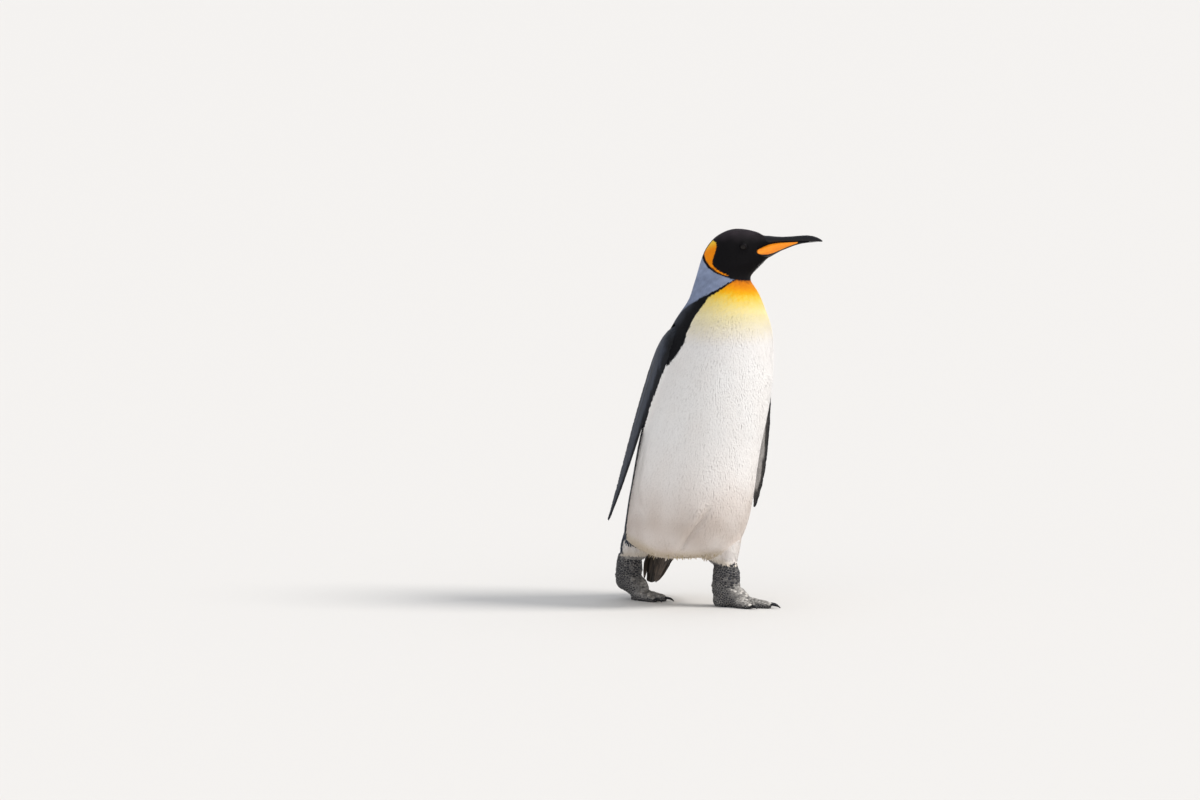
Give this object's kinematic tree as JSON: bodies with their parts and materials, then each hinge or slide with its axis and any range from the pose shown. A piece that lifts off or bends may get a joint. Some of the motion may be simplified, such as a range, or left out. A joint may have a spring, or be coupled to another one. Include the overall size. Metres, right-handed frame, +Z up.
{
  "type": "king penguin",
  "caption": "Life-size king penguin in mid-stride: upright trunk, head turned to its left, flippers held back, one heel lifting, short stiff tail.",
  "frame": {"origin": "on the floor, at the middle of the bounding box's footprint", "axes": "+Z up; the trunk faces -Y and the bird's own left is +X"},
  "size_m": [0.4152, 0.374, 0.85],
  "materials": {
    "plumage": "dense short feathers, white below and slate and black above",
    "tail_feathers": "stiff dark quills",
    "horn": "satin black horn",
    "bill_plate": "smooth orange horn",
    "eye": "wet gloss",
    "foot_skin": "scaly, dusted with pale sand",
    "claw": "satin dark horn"
  },
  "bodies": {
    "root": {"trunk": "plumage", "neck": "plumage", "head": "plumage", "tail": "tail_feathers", "flipper_left": "plumage", "flipper_right": "plumage", "leg_left": "plumage", "leg_right": "plumage", "bill_upper": "horn", "bill_lower": "horn", "bill_plate_left": "bill_plate", "bill_plate_right": "bill_plate", "eye_left": "eye", "eye_right": "eye", "foot_left": "foot_skin", "foot_right": "foot_skin", "claw_left_inner": "claw", "claw_left_middle": "claw", "claw_left_outer": "claw", "claw_right_inner": "claw", "claw_right_middle": "claw", "claw_right_outer": "claw"}
  },
  "joints": []
}
